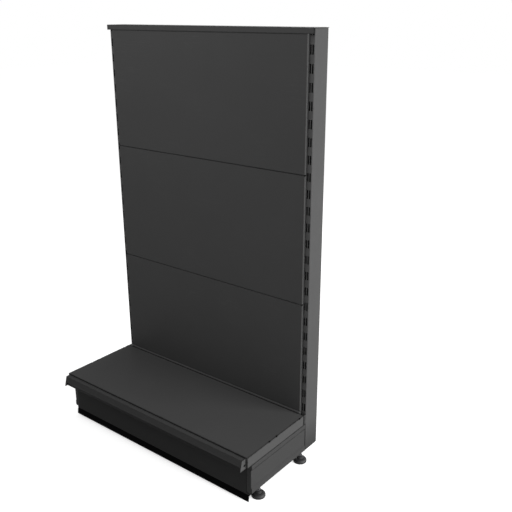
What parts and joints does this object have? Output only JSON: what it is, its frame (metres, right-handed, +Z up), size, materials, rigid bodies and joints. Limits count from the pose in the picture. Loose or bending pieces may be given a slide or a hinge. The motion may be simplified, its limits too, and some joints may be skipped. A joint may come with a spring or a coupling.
{
  "type": "gondola end unit",
  "caption": "Gondola end unit: slotted uprights with hung back panels, top cap, base shelf with price strip, plinth and levelling feet.",
  "frame": {"origin": "on the floor, below the middle of the unit's box", "axes": "+Z up, -Y towards the shopper, +X to the shopper's right"},
  "size_m": [0.844, 0.3887, 1.35],
  "materials": {
    "coated_steel": "satin anthracite powder coat",
    "black_pvc": "matt black flexible PVC",
    "black_nylon": "matt black nylon",
    "zinc_plate": "bright zinc plate",
    "black_zinc": "black passivated zinc plate"
  },
  "bodies": {
    "frame": {"base_leg_left": "coated_steel", "base_leg_right": "coated_steel", "base_rail": "coated_steel", "base_rail_bolt_left": "zinc_plate", "base_rail_bolt_right": "zinc_plate", "base_shelf": "coated_steel", "foot_nut_front_left": "zinc_plate", "foot_nut_front_right": "zinc_plate", "foot_nut_rear_left": "zinc_plate", "foot_nut_rear_right": "zinc_plate", "leg_hook_plate_left": "coated_steel", "leg_hook_plate_right": "coated_steel", "lower_back_panel": "coated_steel", "lower_rail": "coated_steel", "lower_rail_bolt_left": "zinc_plate", "lower_rail_bolt_right": "zinc_plate", "middle_back_panel": "coated_steel", "middle_rail": "coated_steel", "middle_rail_bolt_left": "zinc_plate", "middle_rail_bolt_right": "zinc_plate", "plinth_clip_left": "zinc_plate", "plinth_clip_right": "zinc_plate", "plinth_panel": "coated_steel", "plinth_seal": "black_pvc", "price_strip": "coated_steel", "price_strip_end_left": "coated_steel", "price_strip_end_right": "coated_steel", "shelf_stiffener": "coated_steel", "top_cap": "coated_steel", "upper_back_panel": "coated_steel", "upper_rail": "coated_steel", "upper_rail_bolt_left": "zinc_plate", "upper_rail_bolt_right": "zinc_plate", "upright_left": "coated_steel", "upright_right": "coated_steel"},
    "pad_front_left": {"foot_pad_front_left": "black_nylon"},
    "stem_front_left": {"foot_stem_front_left": "black_zinc"},
    "pad_front_right": {"foot_pad_front_right": "black_nylon"},
    "stem_front_right": {"foot_stem_front_right": "black_zinc"},
    "pad_rear_left": {"foot_pad_rear_left": "black_nylon"},
    "stem_rear_left": {"foot_stem_rear_left": "black_zinc"},
    "pad_rear_right": {"foot_pad_rear_right": "black_nylon"},
    "stem_rear_right": {"foot_stem_rear_right": "black_zinc"}
  },
  "joints": [
    {"name": "foot_travel_front_left", "type": "slide", "parent": "frame", "child": "pad_front_left", "axis": [0, 0, -1], "range_m": [0, 0.018]},
    {"name": "foot_screw_front_left", "type": "hinge", "parent": "pad_front_left", "child": "stem_front_left", "pos_m": [-0.4, -0.1056, 0.066], "axis": [0, 0, -1], "range_deg": [0, 4320]},
    {"name": "foot_travel_front_right", "type": "slide", "parent": "frame", "child": "pad_front_right", "axis": [0, 0, -1], "range_m": [0, 0.018]},
    {"name": "foot_screw_front_right", "type": "hinge", "parent": "pad_front_right", "child": "stem_front_right", "pos_m": [0.4, -0.1056, 0.066], "axis": [0, 0, -1], "range_deg": [0, 4320]},
    {"name": "foot_travel_rear_left", "type": "slide", "parent": "frame", "child": "pad_rear_left", "axis": [0, 0, -1], "range_m": [0, 0.018]},
    {"name": "foot_screw_rear_left", "type": "hinge", "parent": "pad_rear_left", "child": "stem_rear_left", "pos_m": [-0.4, 0.1149, 0.066], "axis": [0, 0, -1], "range_deg": [0, 4320]},
    {"name": "foot_travel_rear_right", "type": "slide", "parent": "frame", "child": "pad_rear_right", "axis": [0, 0, -1], "range_m": [0, 0.018]},
    {"name": "foot_screw_rear_right", "type": "hinge", "parent": "pad_rear_right", "child": "stem_rear_right", "pos_m": [0.4, 0.1149, 0.066], "axis": [0, 0, -1], "range_deg": [0, 4320]}
  ],
  "couplings": [
    {"joint": "foot_screw_front_left", "follows": "foot_travel_front_left", "rad_per_m": 4188.8},
    {"joint": "foot_screw_front_right", "follows": "foot_travel_front_right", "rad_per_m": 4188.8},
    {"joint": "foot_screw_rear_left", "follows": "foot_travel_rear_left", "rad_per_m": 4188.8},
    {"joint": "foot_screw_rear_right", "follows": "foot_travel_rear_right", "rad_per_m": 4188.8}
  ]
}
